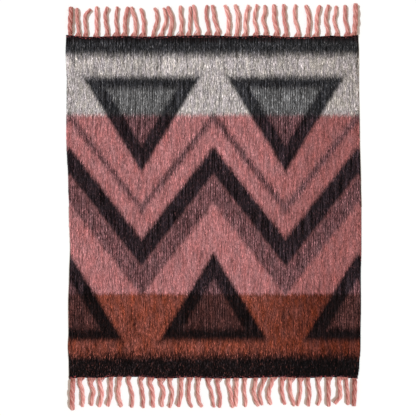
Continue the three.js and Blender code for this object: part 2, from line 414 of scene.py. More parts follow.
# 1 inside and 0 outside, eased over a soft edge
def softMask(tree, inside, softness):
    return ramp(tree, inside, -softness / 2, softness / 2)


# The Mix node repeats the names of its sockets, so they are taken by number
def mixed(tree, factor, first, second):
    node = addNode(tree, "ShaderNodeMix", {"data_type": "RGBA"}, Factor=factor)
    feed(tree, node.inputs[6], first)
    feed(tree, node.inputs[7], second)
    return node.outputs[2]


def blended(tree, factor, first, second):
    node = addNode(tree, "ShaderNodeMix", {"data_type": "FLOAT"}, Factor=factor)
    feed(tree, node.inputs[2], first)
    feed(tree, node.inputs[3], second)
    return node.outputs[0]


def scaled(tree, colour, factor):
    node = addNode(tree, "ShaderNodeVectorMath", {"operation": "SCALE"}, Scale=factor)
    feed(tree, node.inputs[0], colour)
    return node.outputs[0]


# Noise of about -0.5 to 0.5, with so many lumps a metre across, along and up
def noiseOf(tree, place, pitch, detail):
    mapping = addNode(tree, "ShaderNodeMapping", {}, Vector=place, Scale=pitch)
    settings = {"Scale": 1.0, "Detail": detail, "Roughness": 0.55}
    noise = addNode(tree, "ShaderNodeTexNoise", {}, Vector=mapping.outputs["Vector"], **settings)
    return maths(tree, "SUBTRACT", noise.outputs["Fac"], 0.5)


def attributeOf(tree, name, output):
    return addNode(tree, "ShaderNodeAttribute", {"attribute_name": name}).outputs[output]


def newGroup(name, inputs, outputs):
    tree = bpy.data.node_groups.new(name, "ShaderNodeTree")
    for socketName, kind in inputs.items():
        tree.interface.new_socket(socketName, in_out="INPUT", socket_type=kind)
    for socketName, kind in outputs.items():
        tree.interface.new_socket(socketName, in_out="OUTPUT", socket_type=kind)
    return tree, tree.nodes.new("NodeGroupInput"), tree.nodes.new("NodeGroupOutput")


# The dyed bands and the zigzag design. Stray is the share of a tuft that comes from other wool
def makeDyedBands():
    inputs = {"Place": "NodeSocketVector", "Stray": "NodeSocketFloat"}
    outputs = {"Color": "NodeSocketColor", "Contrast": "NodeSocketFloat"}
    tree, entry, leave = newGroup("dyedBands", inputs, outputs)
    place = entry.outputs["Place"]
    split = addNode(tree, "ShaderNodeSeparateXYZ", {}, Vector=place)
    across, along = split.outputs["X"], split.outputs["Y"]

    fine = noiseOf(tree, place, design["finePitch"], 3.0)
    broad = noiseOf(tree, place, design["broadPitch"], 2.0)
    fineDrift = maths(tree, "MULTIPLY", fine, design["fineDrift"])
    broadDrift = maths(tree, "MULTIPLY", broad, design["broadDrift"])
    feathered = maths(tree, "ADD", along, maths(tree, "ADD", fineDrift, broadDrift))
    # Painted shade: each dye darkens from its left colour to its right one across the cloth, as of a light
    # falling off to the right
    paintedFalloff = ramp(tree, across, dyes["falloffStart"], dyes["falloffEnd"])

    def footward(name):
        inside = maths(tree, "SUBTRACT", design[name + "From"], feathered)
        return softMask(tree, inside, design[name + "Soft"])

    def headward(name):
        inside = maths(tree, "SUBTRACT", feathered, design[name + "From"])
        return softMask(tree, inside, design[name + "Soft"])

    def ground(name):
        return mixed(tree, paintedFalloff, linear(dyes[name + "Left"]), linear(dyes[name + "Right"]))

    isRose, isRust, isFoot = footward("rose"), footward("rust"), footward("foot")

    def byZone(pale, rose, rust):
        return mixed(tree, isRust, mixed(tree, isRose, pale, rose), rust)

    isCream = softMask(tree, noiseOf(tree, place, dyes["tingePitch"], 2.0), dyes["tingeSoft"])
    tinges = mixed(tree, isCream, linear(dyes["mauve"]), linear(dyes["cream"]))
    pale = mixed(tree, dyes["tinge"], ground("pale"), tinges)
    grounds = byZone(pale, ground("rose"), ground("rust"))
    tones = byZone(linear(dyes["greyTone"]), linear(dyes["mulberryTone"]), linear(dyes["brownTone"]))
    darks = byZone(
        linear(dyes["charcoalOnPale"]), linear(dyes["charcoalOnRose"]), linear(dyes["charcoalOnRust"])
    )
    ridges = noiseOf(tree, place, design["ridgePitch"], 1.0)
    ridges = maths(tree, "MULTIPLY_ADD", ridges, design["ridgeDepth"], 1.0)
    ridges = maths(tree, "MAXIMUM", ridges, design["ridgeLeast"])
    darks = scaled(tree, darks, ridges)
    wander = noiseOf(tree, place, design["wanderPitch"], 1.0)
    wander = maths(tree, "MULTIPLY", wander, design["threadWander"])
    phase = maths(tree, "MULTIPLY_ADD", across, fullTurn / design["threadPitch"], wander)
    threads = maths(tree, "MULTIPLY", maths(tree, "SINE", phase), design["threadDepth"])
    yarns = noiseOf(tree, place, design["yarnPitch"], 1.0)
    threads = maths(tree, "MULTIPLY_ADD", yarns, design["yarnDepth"], threads)
    tones = scaled(tree, tones, maths(tree, "ADD", threads, 1.0))

    fromPeak = maths(tree, "PINGPONG", across, design["halfPeriod"])
    fromValley = maths(tree, "SUBTRACT", design["halfPeriod"], fromPeak)
    fall = maths(tree, "MULTIPLY", fromPeak, design["zigzagSlope"])
    above = maths(tree, "SUBTRACT", feathered, maths(tree, "SUBTRACT", design["zigzagPeak"], fall))

    def band(rise, half):
        off = maths(tree, "ABSOLUTE", maths(tree, "SUBTRACT", above, rise))
        return softMask(tree, maths(tree, "SUBTRACT", half, off), design["edgeSoft"])

    def wedge(aside, tip, base):
        way = 1 if base > tip else -1
        fromTip = maths(tree, "MULTIPLY", maths(tree, "SUBTRACT", feathered, tip), way)
        flank = maths(tree, "SUBTRACT", fromTip, maths(tree, "MULTIPLY", aside, design["wedgeSlope"]))
        toBase = maths(tree, "SUBTRACT", abs(base - tip), fromTip)
        return softMask(tree, maths(tree, "MINIMUM", flank, toBase), design["edgeSoft"])

    def core(aside, tip, base):
        way = 1 if base > tip else -1
        return wedge(aside, tip + way * design["coreInset"], base - way * design["coreBase"])

    hanging = (fromValley, design["hangingTip"], design["hangingBase"])
    standing = (fromPeak, design["standingTip"], design["standingBase"])
    shadow = band(-design["shadowDrop"], design["shadowHalf"])
    line = band(design["lineRise"], design["lineHalf"])
    wedges = maths(tree, "MAXIMUM", wedge(*hanging), wedge(*standing))
    dark = maths(tree, "MAXIMUM", band(0.0, design["zigzagHalf"]), wedges)
    cores = maths(tree, "MAXIMUM", core(*hanging), core(*standing))
    isTone = maths(tree, "MULTIPLY", maths(tree, "MAXIMUM", shadow, line), design["toneShare"])
    drawn = mixed(tree, cores, mixed(tree, dark, mixed(tree, isTone, grounds, tones), darks), tones)

    isBand = maths(tree, "POWER", headward("band"), design["bandHold"])
    bandWool = scaled(tree, ground("band"), ridges)
    dyed = mixed(tree, isFoot, mixed(tree, isBand, drawn, bandWool), ground("foot"))

    isDark = maths(tree, "MAXIMUM", dark, maths(tree, "MAXIMUM", isBand, isFoot))
    isDark = maths(tree, "MAXIMUM", maths(tree, "SUBTRACT", isDark, cores), 0.0)
    strayWool = mixed(tree, isDark, darks, grounds)
    share = blended(tree, isDark, dyes["strayInLight"], dyes["strayInDark"])
    strayShare = maths(tree, "MULTIPLY", entry.outputs["Stray"], share)
    worn = mixed(tree, strayShare, dyed, strayWool)
    beatenWool = scaled(tree, linear(dyes["beaten"])[:3], ridges)
    dyed = mixed(tree, headward("beaten"), worn, beatenWool)
    uneven = noiseOf(tree, place, dyes["unevenPitch"], 2.0)
    saturation = maths(tree, "MULTIPLY_ADD", uneven, dyes["unevenSaturation"], 1.0)
    hue = maths(tree, "MULTIPLY_ADD", uneven, dyes["unevenHue"], 0.5)
    tinted = addNode(tree, "ShaderNodeHueSaturation", {}, Color=dyed, Saturation=saturation, Hue=hue)
    feed(tree, leave.inputs["Color"], tinted.outputs["Color"])

    contrast = blended(tree, isRose, dyes["contrastInPale"], dyes["contrastInRose"])
    contrast = blended(tree, isRust, contrast, dyes["contrastInRust"])
    contrast = blended(tree, maths(tree, "MAXIMUM", isTone, cores), contrast, dyes["contrastInTone"])
    contrast = blended(tree, isDark, contrast, dyes["contrastInDark"])
    contrast = blended(tree, isBand, contrast, dyes["contrastInBand"])
    feed(tree, leave.inputs["Contrast"], blended(tree, isFoot, contrast, dyes["contrastInFoot"]))
    return tree


streak = {
    "bendPitch": (26, 20, 0),
    "bend": 26 * mm,
    "thinPitch": (230, 36, 0),
    "thin": 1.35,
    "longPitch": (210, 7, 0),
    "long": 1.9,
    "patchPitch": (9, 6, 0),
    "patch": 0.4,
    "grainPitch": (170, 130, 0),
    "grain": 1.9,
    "least": 0.2,
}


# Light and dark streaks along the warp, around 1
def makeNapStreaks():
    inputs = {"Place": "NodeSocketVector", "Strength": "NodeSocketFloat"}
    tree, entry, leave = newGroup("napStreaks", inputs, {"Value": "NodeSocketFloat"})
    bend = noiseOf(tree, entry.outputs["Place"], streak["bendPitch"], 1.0)
    bend = maths(tree, "MULTIPLY", bend, streak["bend"])
    aside = addNode(tree, "ShaderNodeCombineXYZ", {}, X=bend).outputs[0]
    place = addNode(tree, "ShaderNodeVectorMath", {"operation": "ADD"}).outputs[0]
    feed(tree, place.node.inputs[0], entry.outputs["Place"])
    feed(tree, place.node.inputs[1], aside)

    def layer(name, detail):
        return maths(tree, "MULTIPLY", noiseOf(tree, place, streak[name + "Pitch"], detail), streak[name])

    short = maths(tree, "ADD", layer("thin", 2.0), layer("grain", 1.0))
    broad = maths(tree, "ADD", layer("long", 1.0), layer("patch", 2.0))
    total = maths(tree, "ADD", short, broad)
    value = maths(tree, "MULTIPLY_ADD", total, entry.outputs["Strength"], 1.0)
    feed(tree, leave.inputs["Value"], maths(tree, "MAXIMUM", value, streak["least"]))
    return tree


dyedBands = makeDyedBands()
napStreaks = makeNapStreaks()
print("node groups made")


def newMaterial(name, roughness, sheen):
    material = bpy.data.materials.new(name)
    material.use_nodes = True
    shader = material.node_tree.nodes["Principled BSDF"]
    shader.inputs["Roughness"].default_value = roughness
    shader.inputs["Sheen Weight"].default_value = sheen
    shader.inputs["Sheen Roughness"].default_value = 0.5
    shader.inputs["Specular IOR Level"].default_value = 0.06
    return material, material.node_tree, shader


# Fine relief from a pattern of about -0.5 to 0.5
def addRelief(tree, shader, pattern, depth):
    bump = addNode(tree, "ShaderNodeBump", {}, Strength=0.8, Distance=depth, Height=pattern)
    feed(tree, shader.inputs["Normal"], bump.outputs["Normal"])


weave = {
    # shade darkens the weave: painted shade, as under the tufts of the nap
    "shade": 0.75,
    "ribPitch": (420, 60, 0),
    "ribDepth": 1.2 * mm,
}


# The ground weave below the nap, in the same dyes darkened as painted shade under the nap, with the ribs of
# its threads in the bump
def makeGroundMaterial():
    material, tree, shader = newMaterial("groundWeave", roughness=0.95, sheen=0.05)
    place = addNode(tree, "ShaderNodeTexCoord", {}).outputs["Object"]
    dyed = addNode(tree, "ShaderNodeGroup", {"node_tree": dyedBands}, Place=place, Stray=0.0).outputs
    streaks = addNode(tree, "ShaderNodeGroup", {"node_tree": napStreaks}, Place=place, Strength=1.0)
    shade = maths(tree, "MULTIPLY", streaks.outputs[0], weave["shade"])
    feed(tree, shader.inputs["Base Color"], scaled(tree, dyed[0], shade))
    addRelief(tree, shader, noiseOf(tree, place, weave["ribPitch"], 3.0), weave["ribDepth"])
    return material


# The nap: each tuft takes the dye from near its root, and has its own lightness, darkened at its root as
# painted shade
def makeNapMaterial():
    material, tree, shader = newMaterial("brushedNap", roughness=0.92, sheen=0.03)
    place = attributeOf(tree, "dyePlace", "Vector")
    stray = attributeOf(tree, "stray", "Fac")
    colour, contrast = addNode(
        tree, "ShaderNodeGroup", {"node_tree": dyedBands}, Place=place, Stray=stray
    ).outputs
    streaks = addNode(tree, "ShaderNodeGroup", {"node_tree": napStreaks}, Place=place, Strength=contrast)
    shade = maths(tree, "POWER", attributeOf(tree, "shade", "Fac"), contrast)
    lightness = maths(tree, "MULTIPLY", streaks.outputs[0], shade)
    feed(tree, shader.inputs["Base Color"], scaled(tree, colour, lightness))
    return material


# The ground as a closed sheet: two grids joined round their edges
def makeGround():
    bm = bmesh.new()
    edges = set()
    for isTop in (False, True):
        made = bmesh.ops.create_grid(bm, x_segments=cloth["columns"], y_segments=cloth["rows"], size=0.5)
        weft = np.array([vert.co.x for vert in made["verts"]]) * cloth["width"]
        warp = np.array([vert.co.y for vert in made["verts"]]) * 2 * halfCloth
        x, y = planPoint(weft, warp)
        z = clothHeight(weft, warp) * isTop
        for vert, place in zip(made["verts"], zip(x, y, z)):
            vert.co = place
        edges |= {edge for vert in made["verts"] for edge in vert.link_edges if edge.is_boundary}
    bmesh.ops.bridge_loops(bm, edges=list(edges))
    bmesh.ops.recalc_face_normals(bm, faces=bm.faces[:])
    piece = pieceFrom(bm, "wovenGround")
    piece.data.materials.append(makeGroundMaterial())
    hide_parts("cloth")
    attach(piece, bodyName)
    return smoothShaded(piece)


nap = {
    "firstSeed": 40,
    "strips": 4,
    "tuftsAcross": 230,
    "tuftsAlong": 170,
    "length": (12 * mm, 30 * mm),
    "leastLength": 6 * mm,
    "width": (1.7 * mm, 3.4 * mm),
    "ridge": (0.9 * mm, 2.6 * mm),
    "flankDrop": 0.2,
    "rootDepth": 1.0 * mm,
    "bellyPlace": 0.5,
    "heading": 0.2,
    "dyeFollow": (0.1, 0.55, 1.0),
    "shadeSpread": 0.33,
    "shadeLimits": (-2.2, 1.8),
    "shadeLevel": 0.955,
    # Lightness at root, sides and tip: darker at the root, painted shade where the tufts cover each other,
    # lighter towards the tip
    "paintedShadeByCorner": (0.7, 0.95, 0.95, 1.15),
    "strayTufts": 0.26,
    "strayShare": (0.3, 1),
    "sideRoom": 5 * mm,
    "footReach": 3 * mm,
    "mapRoom": 60 * mm,
}

swirl = {
    "most": 0.3,
    "pitch": (41 * mm, 67 * mm, 149 * mm),
    "lean": 0.3,
    "crossing": 7,
    "steady": 0.6,
    "driftStretch": 1.7,
    "driftShare": 0.35,
}


# How the brushing has turned the nap from the warp, in slow swirls
def swirlAt(x, y):
    small, middle, large = swirl["pitch"]
    eddies = np.sin(fullTurn * (x / small + swirl["lean"] * y / middle))
    eddies = eddies * np.sin(fullTurn * y / middle + swirl["crossing"] * x / large)
    fading = swirl["steady"] + (1 - swirl["steady"]) * np.sin(fullTurn * y / large)
    drift = np.sin(fullTurn * (x / large - y / (swirl["driftStretch"] * large)))
    return swirl["most"] * (eddies * fading + swirl["driftShare"] * drift)


# Short ridged tufts of wool that lie along the warp, one strip of the cloth at a time
def makeNap(place, material):
    random = np.random.default_rng(nap["firstSeed"] + place)
    across, along = nap["tuftsAcross"], nap["tuftsAlong"]
    count = across * along
    low = -halfCloth + 2 * halfCloth * place / nap["strips"]
    high = low + 2 * halfCloth / nap["strips"]
    column, row = (grid.ravel() for grid in np.meshgrid(np.arange(across), np.arange(along)))
    weft = ((column + random.random(count)) / across - 0.5) * (cloth["width"] - nap["sideRoom"])
    warp = low + (high - low) * (row + random.random(count)) / along
    x, y = planPoint(weft, warp)
    z = clothHeight(weft, warp)
    length = random.uniform(*nap["length"], count)
    toFoot = warp + halfCloth + nap["footReach"]
    length = np.clip(length, 0, np.maximum(toFoot, nap["leastLength"]))
    heading = random.normal(0, nap["heading"], count) + swirlAt(x, y)
    toSide = halfWidth - np.abs(weft)
    most = np.arcsin(np.clip(toSide / nap["length"][1], 0, 1))
    heading = np.clip(heading, -most, most)
    half = random.uniform(*nap["width"], count) / 2
    ridge = random.uniform(*nap["ridge"], count)

    wayX, wayY = np.sin(heading), -np.cos(heading)
    bellyX = x + wayX * length * nap["bellyPlace"]
    bellyY = y + wayY * length * nap["bellyPlace"]
    tipX, tipY = x + wayX * length, y + wayY * length
    root = np.stack([x, y, z - nap["rootDepth"]], 1)
    flank = z - nap["flankDrop"] * ridge
    left = np.stack([bellyX - wayY * half, bellyY + wayX * half, flank], 1)
    right = np.stack([bellyX + wayY * half, bellyY - wayX * half, flank], 1)
    tip = np.stack([tipX, tipY, z + ridge], 1)
    corners = np.stack([root, left, right, tip], 1)
    tuft = np.array([[0, 3, 1], [0, 2, 3], [0, 1, 2], [3, 2, 1]])
    faces = (np.arange(count)[:, None, None] * 4 + tuft).reshape(-1, 3)

    points = corners.reshape(-1, 3)
    dyePlace = corners + (root[:, None, :] - corners) * np.array(nap["dyeFollow"])
    spread = np.clip(random.normal(0, 1, count), *nap["shadeLimits"]) * nap["shadeSpread"]
    shades = (np.exp(spread) * nap["shadeLevel"])[:, None] * np.array(nap["paintedShadeByCorner"])
    stray = random.uniform(*nap["strayShare"], count) * (random.random(count) < nap["strayTufts"])
    strays = np.repeat(stray, corners.shape[1])
    values = {"dyePlace": dyePlace.reshape(-1, 3), "shade": shades.ravel(), "stray": strays}
    room = nap["mapRoom"]
    flatU = (points[:, 0] + halfWidth + room) / (cloth["width"] + 2 * room)
    flatV = (points[:, 1] - low + room) / (high - low + 2 * room)
    cornerUv = np.stack([flatU, flatV], 1)[faces]
    piece = joinedMesh(f"nap{place + 1}", points, faces, values, cornerUv)
    piece.data.materials.append(material)
    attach(piece, bodyName)
    return piece


ground = makeGround()
print("ground made")
napMaterial = makeNapMaterial()
napPieces = [makeNap(place, napMaterial) for place in range(nap["strips"])]
print("nap made:", sum(len(piece.data.polygons) for piece in napPieces), "triangles")

lock = {
    "headSeed": 7,
    "footSeed": 8,
    "girth": 17.8 * mm,
    "aside": -0.8 * mm,
    "flatness": 0.88,
    "firstGain": 1.25,
    "lastGain": 1.36,
    "gainSpread": 0.13,
    "tipShare": 0.93,
    "taperStart": 0.6,
    "plies": 3,
    "plyRadius": 0.285,
    "plyOffset": 0.215,
    "turns": 1.0,
    "turnSpread": (0.8, 1.2),
    "waver": 0.03,
    "waverTurns": (14, 22),
    "waverStart": (0, 6),
    "lumps": 0.03,
    "tipRound": 2.5 * mm,
    "tipLeast": 0.05,
    "rootDepth": 1.2 * mm,
    "rootHeight": 2.6 * mm,
    "rootShare": 0.55,
    "startRise": 16 * mm,
    "flareLength": 22 * mm,
    "startDrift": 0.15,
    "stations": (0.5, 0.77),
    "grooveFrom": 0.3,
    "paintedGrooveShade": 0.66,
    "toneSpread": 0.16,
    "outerTone": 0.2,
    "fibreTwist": 1.5,
    "fibreRun": 9 * mm,
    "fibreStep": 5,
    "floorGap": 0.2 * mm,
    "sides": 10,
    "steps": 42,
}

heel = {
    "strands": 6,
    "leftReach": -20 * mm,
    "rightReach": 10 * mm,
    "reachSpread": (0.45, 1.15),
    "firstReach": 0.1,
    "length": (20 * mm, 32 * mm),
    "depth": 0.8 * mm,
    "radius": (1.9 * mm, 3.0 * mm),
    "height": 4.4 * mm,
    "startHeight": 0.35,
    "heightSpread": (0.8, 1.1),
    "thinning": 0.55,
    "gatherShare": 0.5,
    "scatter": 1 * mm,
    "lineSteps": 80,
    "tone": 0.3,
    "sides": 6,
    "steps": 8,
}


# A smooth line through stations
def smoothLine(stops, values, places):
    slopes = np.gradient(values, stops)
    high = np.clip(np.searchsorted(stops, places), 1, len(stops) - 1)
    low = high - 1
    span = stops[high] - stops[low]
    t = (places - stops[low]) / span
    fromLow = (2 * t**3 - 3 * t**2 + 1) * values[low] + (t**3 - 2 * t**2 + t) * span * slopes[low]
    fromHigh = (3 * t**2 - 2 * t**3) * values[high] + (t**3 - t**2) * span * slopes[high]
    return fromLow + fromHigh


def edgeOver(across):
    return halfGround + float(endOut(np.array(across), np.array(1.0)))


# The middle line of a lock of the head end at so many steps, and how far each is past the cloth's edge
def lockLine(row, steps):
    edge = edgeOver(row["root"] * mm)
    reach = row["reach"] * mm
    stops = np.array([
        edge - lock["rootDepth"],
        edge + lock["flareLength"],
        halfGround + reach * lock["stations"][0],
        halfGround + reach * lock["stations"][1],
        halfGround + reach,
    ])
    drift = np.array([0, row["half"] * lock["startDrift"], row["half"], row["late"], row["tip"]])
    y = np.linspace(stops[0], stops[-1], steps)
    x = smoothLine(stops, (row["root"] + drift) * mm, y)
    return x + lock["aside"], y, y - edge


# One dictionary of arrays from a dictionary for each tube
def stacked(tubes):
    return {key: np.array([tube[key] for tube in tubes]) for key in tubes[0]}


def headings(x, y):
    dx, dy = np.gradient(x, axis=-1), np.gradient(y, axis=-1)
    size = np.hypot(dx, dy)
    return dx / size, dy / size


# The plies of each lock, turned round each other
def plyTubes(random, rows):
    tubes = []
    outerGain = {0: lock["firstGain"], len(rows) - 1: lock["lastGain"]}
    for number, row in enumerate(rows):
        isOuter = number in outerGain
        gain = outerGain.get(number, 1 + random.uniform(-1, 1) * lock["gainSpread"])
        tone = random.uniform(-1, 1) * lock["toneSpread"] + isOuter * lock["outerTone"]
        x, y, run = lockLine(row, lock["steps"])
        headX, headY = headings(x, y)
        shares = np.linspace(0, 1, lock["steps"])
        taper = eased(shares, lock["taperStart"], 1)
        girth = lock["girth"] * gain * (1 - (1 - lock["tipShare"]) * taper)
        waver = shares * random.uniform(*lock["waverTurns"]) + random.uniform(*lock["waverStart"])
        girth = girth * (1 + lock["waver"] * np.sin(waver))
        started = eased(run, -lock["rootDepth"], lock["startRise"])
        turn = random.uniform(0, math.pi)
        turn = turn + fullTurn * lock["turns"] * random.uniform(*lock["turnSpread"]) * shares
        fromTip = np.clip((y[-1] - y) / lock["tipRound"], 0.0, 1)
        closing = np.sqrt(np.clip(1 - (1 - fromTip) ** 2, lock["tipLeast"], 1))
        middle = lock["rootHeight"] + (girth * 0.5 * lock["flatness"] - lock["rootHeight"]) * started
        filling = lock["rootShare"] + (1 - lock["rootShare"]) * started
        for ply in np.arange(lock["plies"]) * fullTurn / lock["plies"]:
            swing = np.cos(turn + ply) * girth * lock["plyOffset"]
            lift = np.sin(turn + ply) * girth * lock["plyOffset"] * lock["flatness"]
            radius = girth * lock["plyRadius"] * closing * filling
            radius = radius * (1 + lock["lumps"] * random.standard_normal(lock["steps"]))
            tubes.append({
                "x": x + headY * swing, "y": y - headX * swing, "z": middle + lift * started,
                "headX": headX, "headY": headY, "across": radius, "up": radius * lock["flatness"],
                "run": run, "turn": turn + ply, "tone": tone,
            })
    return stacked(tubes)


# Strands that gather from the dense edge into the root of each lock
def heelTubes(random, rows):
    tubes = []
    for row in rows:
        lineX, lineY, _ = lockLine(row, heel["lineSteps"])
        spread = heel["firstReach"] if row is rows[0] else random.uniform(*heel["reachSpread"])
        leftReach = heel["leftReach"] * spread
        rightReach = heel["rightReach"] * random.uniform(*heel["reachSpread"])
        for strand in range(heel["strands"]):
            share = strand / (heel["strands"] - 1)
            start = leftReach + (rightReach - leftReach) * share
            startX = row["root"] * mm + start + random.uniform(-1, 1) * heel["scatter"]
            edge = edgeOver(startX)
            length = random.uniform(*heel["length"])
            y = np.linspace(edge - heel["depth"], edge + length, heel["steps"])
            gather = eased(y, edge - heel["depth"], edge + length)
            gathered = (share - 0.5) * lock["girth"] * heel["gatherShare"]
            goalX = np.interp(y, lineY, lineX) + gathered
            radius = random.uniform(*heel["radius"])
            rise = heel["startHeight"] + (1 - heel["startHeight"]) * gather
            rise = heel["height"] * rise * random.uniform(*heel["heightSpread"])
            x = startX + (goalX - startX) * gather
            across = radius * (1 - heel["thinning"] * gather)
            tubes.append({"x": x, "y": y, "z": radius + rise, "across": across, "run": y - edge})
    tubes = stacked(tubes)
    tubes["headX"], tubes["headY"] = headings(tubes["x"], tubes["y"])
    tubes["up"] = tubes["across"]
    tubes["turn"] = np.zeros_like(tubes["x"])
    tubes["tone"] = np.full(len(tubes["x"]), heel["tone"])
    return tubes


fuzz = {
    "perLock": 36,
    "length": (6 * mm, 15 * mm),
    "radius": 0.28 * mm,
    "sides": 3,
    "steps": 4,
    "curl": 4 * mm,
    "lean": (0.25, 0.9),
    "rootPlace": 0.8,
    "heightSpread": (0.7, 1.2),
    "droop": 0.4,
    "thinning": 0.6,
    "clearOfRoot": 6,
    "clearOfTip": 2,
    "tone": -0.3,
}


# Loose fibres that stand off the locks
def fuzzTubes(random, plies):
    count = fuzz["perLock"] * len(lockRows)
    firstPly = np.repeat(np.arange(len(lockRows)) * lock["plies"], fuzz["perLock"])
    tube = firstPly + random.integers(0, lock["plies"], count)
    step = random.integers(fuzz["clearOfRoot"], lock["steps"] - fuzz["clearOfTip"], count)
    shares = np.linspace(0, 1, fuzz["steps"])
    side = np.where(random.random(count) < 0.5, -1.0, 1.0)
    length = random.uniform(*fuzz["length"], count)
    lean = side * random.uniform(*fuzz["lean"], count)
    startX = plies["x"][tube, step] + side * plies["across"][tube, step] * fuzz["rootPlace"]
    x = startX[:, None] + (length * np.sin(lean))[:, None] * shares
    x = x - (side * fuzz["curl"] * random.random(count))[:, None] * shares**2
    along = length * np.cos(lean) * random.choice((-1, 1), count)
    y = plies["y"][tube, step][:, None] + along[:, None] * shares
    height = plies["z"][tube, step] * random.uniform(*fuzz["heightSpread"], count)
    z = height[:, None] * (1 - fuzz["droop"] * shares)
    taper = np.broadcast_to(fuzz["radius"] * (1 - fuzz["thinning"] * shares), x.shape)
    headX, headY = headings(x, y)
    run = np.repeat(plies["run"][tube, step][:, None], fuzz["steps"], 1)
    return {
        "x": x, "y": y, "z": z, "headX": headX, "headY": headY,
        "across": taper, "up": taper, "run": run, "turn": np.zeros_like(x),
        "tone": np.full(count, fuzz["tone"]),
    }


# One end's locks in one piece: plies, root strands and loose fibres
def makeLocks(name, end, material):
    random = np.random.default_rng(lock["headSeed"] if end > 0 else lock["footSeed"])
    rows = lockRows if end > 0 else footRows
    plies = plyTubes(random, rows)
    sets = [
        (plies, lock["sides"], lock["paintedGrooveShade"]),
        (heelTubes(random, rows), heel["sides"], 0.0),
        (fuzzTubes(random, plies), fuzz["sides"], 0.0),
    ]
    mapStops = (0.0, 0.7, 0.95, 1.0)  # the parts of the UV map for plies, strands and fibres
    points, faces, cornerUv, fibre, depth = [], [], [], [], []
    start = 0
    for place, (tubes, sides, paintedGrooveShade) in enumerate(sets):
        route = [tubes[key] for key in ("x", "y", "z", "headX", "headY", "across", "up")]
        madePoints, madeFaces, madeUv, angles = sweptTubes(*route, sides)
        count, steps = tubes["x"].shape
        ring = angles - lock["fibreTwist"] * tubes["turn"][:, :, None]
        run = np.repeat(tubes["run"][:, :, None], sides, 2)
        number = np.repeat(np.arange(count), steps * sides).reshape(run.shape)
        wayAlong = run / lock["fibreRun"] + lock["fibreStep"] * number
        pattern = np.stack([np.cos(ring), np.sin(ring), wayAlong], -1)
        # Painted shade in the grooves: the sides of a ply that face the other plies are darkened
        inner = np.clip(lock["grooveFrom"] - np.cos(angles - tubes["turn"][:, :, None]), 0, 1)
        grooveShadeAndTone = paintedGrooveShade * inner + tubes["tone"][:, None, None]
        blocks = (fibre, pattern.reshape(count, -1, 3)), (depth, grooveShadeAndTone.reshape(count, -1, 1))
        for parts, block in blocks:
            withCaps = np.concatenate([block, block[:, :1], block[:, -1:]], 1)
            parts.append(withCaps.reshape(-1, block.shape[-1]))
        points.append(madePoints)
        faces.append(madeFaces + start)
        madeUv[:, 0] = mapStops[place] + (mapStops[place + 1] - mapStops[place]) * madeUv[:, 0]
        cornerUv.append(madeUv)
        start += len(madePoints)
    points = np.concatenate(points)
    points[:, 2] = np.maximum(points[:, 2], lock["floorGap"])
    if end < 0:
        points[:, 0] = cloth["footShift"] - points[:, 0]
        points[:, 1] = -points[:, 1]
    values = {"fibre": np.concatenate(fibre), "depth": np.concatenate(depth).ravel()}
    piece = joinedMesh(name, points, np.concatenate(faces), values, np.concatenate(cornerUv))
    piece.data.materials.append(material)
    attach(piece, bodyName)
    return smoothShaded(piece)


# The pink of the yarn, the dark red of its fibres and of its painted groove shade, and its bleached
# blotches
yarn = {
    "lit": (205, 136, 131),
    "darkFibreAndGrooveShade": (130, 67, 60),
    "bleached": (229, 174, 165),
    "fibrePitch": (2.6, 2.6, 0.35),
    "fibreSoft": 0.5,
    "fibreDepth": 0.55,
    "blotchPitch": (0.6, 0.6, 0.25),
    "blotchSoft": 0.3,
    "relief": 1.2 * mm,
}


def makeYarnMaterial():
    material, tree, shader = newMaterial("twistedYarn", roughness=0.9, sheen=0.08)
    fibre = attributeOf(tree, "fibre", "Vector")
    # depth holds each lock's own tone and the painted shade of its grooves
    depth = attributeOf(tree, "depth", "Fac")
    fibres = noiseOf(tree, fibre, yarn["fibrePitch"], 3.0)
    blotches = noiseOf(tree, fibre, yarn["blotchPitch"], 2.0)
    isFibre = softMask(tree, fibres, yarn["fibreSoft"])
    darkFibresAndShade = maths(tree, "MULTIPLY_ADD", isFibre, yarn["fibreDepth"], depth)
    isBleached = softMask(tree, blotches, yarn["blotchSoft"])
    pale = mixed(tree, isBleached, linear(yarn["lit"]), linear(yarn["bleached"]))
    factor = maths(tree, "MINIMUM", maths(tree, "MAXIMUM", darkFibresAndShade, 0.0), 1.0)
    feed(tree, shader.inputs["Base Color"], mixed(tree, factor, pale, linear(yarn["darkFibreAndGrooveShade"])))
    addRelief(tree, shader, fibres, yarn["relief"])
    return material


yarnMaterial = makeYarnMaterial()
headLocks = makeLocks("headLocks", 1, yarnMaterial)
footLocks = makeLocks("footLocks", -1, yarnMaterial)
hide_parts("fringe_head")
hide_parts("fringe_foot")
print("locks made:", len(headLocks.data.polygons), "triangles an end")

denseEdge = {
    "headSeed": 17,
    "footSeed": 18,
    "cells": 420,
    "lanes": 7,
    "overlap": 2.5 * mm,
    "headOut": 0.6 * mm,
    "footOut": 2.2 * mm,
    "frayed": 0.4 * mm,
    "rimHeight": 0.3,
    "lump": (0.75, 1.3),
    "dark": (13, 9, 10),
    "warpEnds": (162, 74, 76),
    "warpPitch": (110, 220, 0),
    "warpLimits": (0.07, 0.18),
    "mauve": (84, 58, 66),
    "mauvePitch": (90, 180, 40),
    "mauveLimits": (0.06, 0.16),
    "grainPitch": (500, 300, 300),
    "relief": 1.0 * mm,
}


